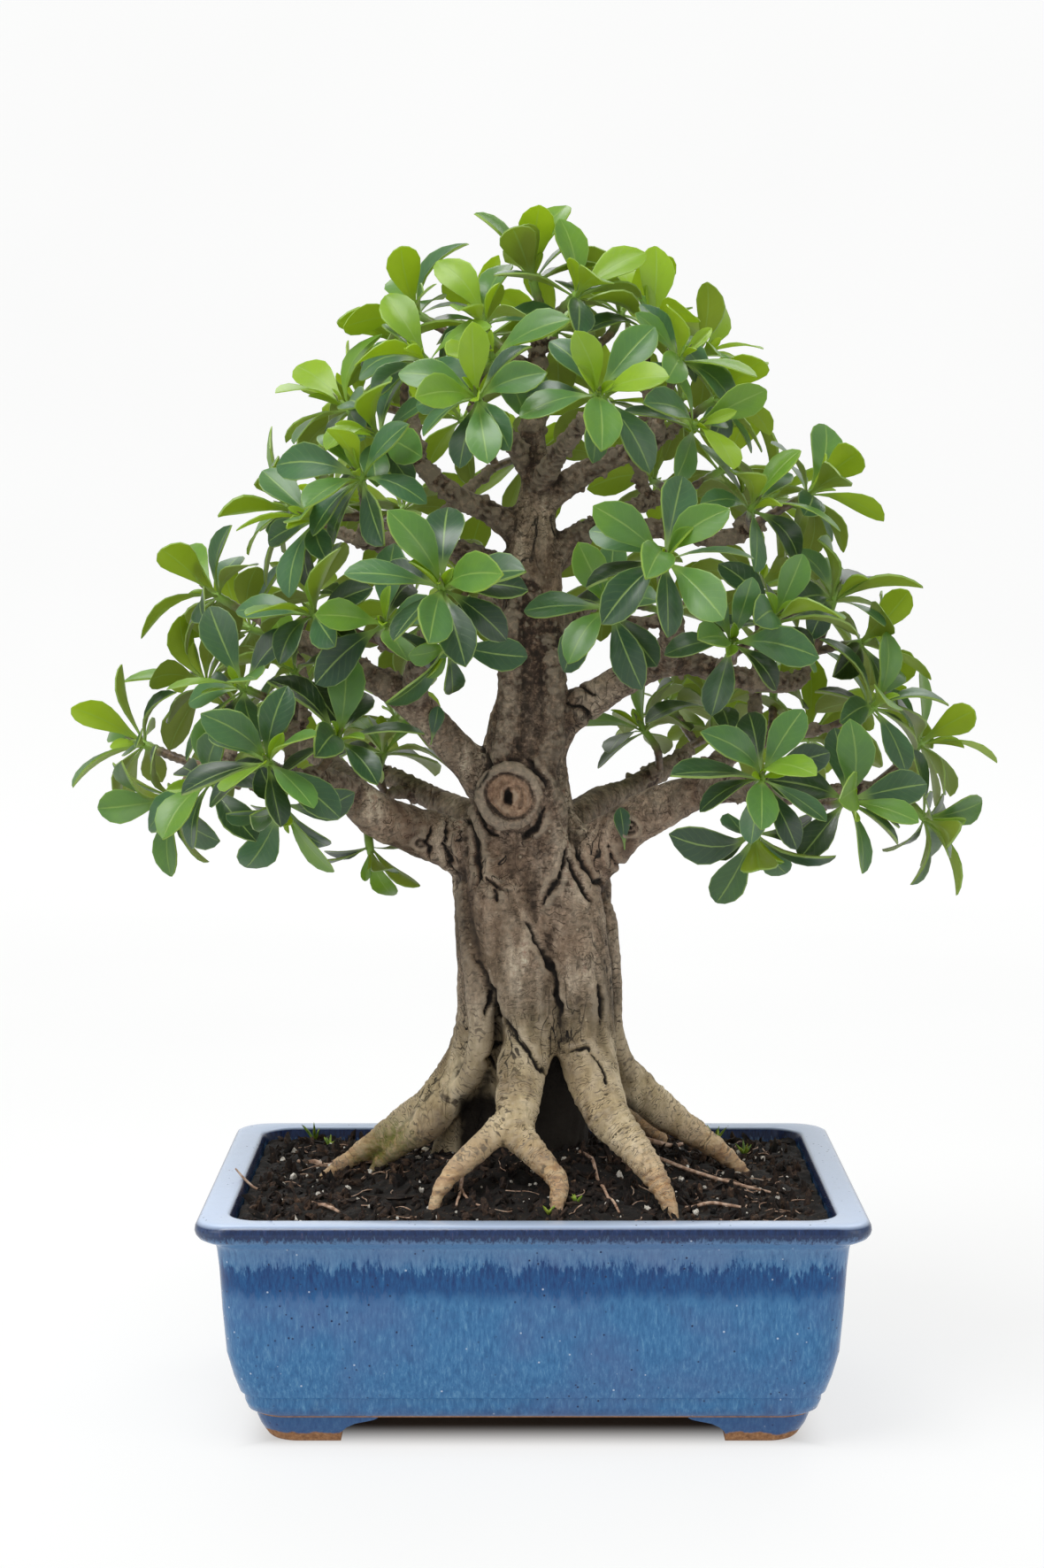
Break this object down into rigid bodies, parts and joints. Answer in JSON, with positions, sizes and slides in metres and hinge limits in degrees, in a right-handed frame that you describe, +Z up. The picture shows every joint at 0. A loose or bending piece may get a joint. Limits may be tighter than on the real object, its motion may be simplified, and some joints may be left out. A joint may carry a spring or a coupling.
{
  "type": "ficus bonsai in a pot",
  "caption": "Ficus bonsai with surface roots, a strand-grown trunk and leafy branches, in a rectangular blue glazed pot on bracket feet.",
  "frame": {"origin": "on the ground under the centre of the pot, which is the centre of the whole tree's box in plan", "axes": "+Z up, +X along the pot's long side to the viewer's right, -Y towards the viewer in front of the tree"},
  "size_m": [0.3785, 0.2708, 0.4844],
  "materials": {
    "glazed_stoneware": "glossy blue glaze, streaked, bare clay under the feet",
    "potting_soil": "dark crumbly peat mix with white perlite",
    "screen_plastic": "matt moulded mesh",
    "bark": "grey-brown living bark, tan at the roots",
    "leaf": "thick glossy leaf, lime where young"
  },
  "bodies": {
    "root": {"pot": "glazed_stoneware", "soil": "potting_soil", "drain_screen_left": "screen_plastic", "drain_screen_right": "screen_plastic", "trunk_roots_branches": "bark", "leafy_shoot_01": "leaf", "leafy_shoot_02": "leaf", "leafy_shoot_03": "leaf", "leafy_shoot_04": "leaf", "leafy_shoot_05": "leaf", "leafy_shoot_06": "leaf", "leafy_shoot_07": "leaf", "leafy_shoot_08": "leaf", "leafy_shoot_09": "leaf", "leafy_shoot_10": "leaf", "leafy_shoot_11": "leaf", "leafy_shoot_12": "leaf", "leafy_shoot_13": "leaf", "leafy_shoot_14": "leaf", "leafy_shoot_15": "leaf", "leafy_shoot_16": "leaf", "leafy_shoot_17": "leaf", "leafy_shoot_18": "leaf", "leafy_shoot_19": "leaf", "leafy_shoot_20": "leaf", "leafy_shoot_21": "leaf", "leafy_shoot_22": "leaf", "leafy_shoot_23": "leaf", "leafy_shoot_24": "leaf", "leafy_shoot_25": "leaf", "leafy_shoot_26": "leaf", "leafy_shoot_27": "leaf", "leafy_shoot_28": "leaf", "leafy_shoot_29": "leaf", "leafy_shoot_30": "leaf", "leafy_shoot_31": "leaf", "leafy_shoot_32": "leaf", "leafy_shoot_33": "leaf", "leafy_shoot_34": "leaf", "leafy_shoot_35": "leaf", "leafy_shoot_36": "leaf", "leafy_shoot_37": "leaf", "leafy_shoot_38": "leaf", "leafy_shoot_39": "leaf", "leafy_shoot_40": "leaf", "leafy_shoot_41": "leaf", "leafy_shoot_42": "leaf", "leafy_shoot_43": "leaf", "leafy_shoot_44": "leaf", "leafy_shoot_45": "leaf", "leafy_shoot_46": "leaf", "leafy_shoot_47": "leaf", "leafy_shoot_48": "leaf", "leafy_shoot_49": "leaf", "leafy_shoot_50": "leaf"}
  },
  "joints": []
}
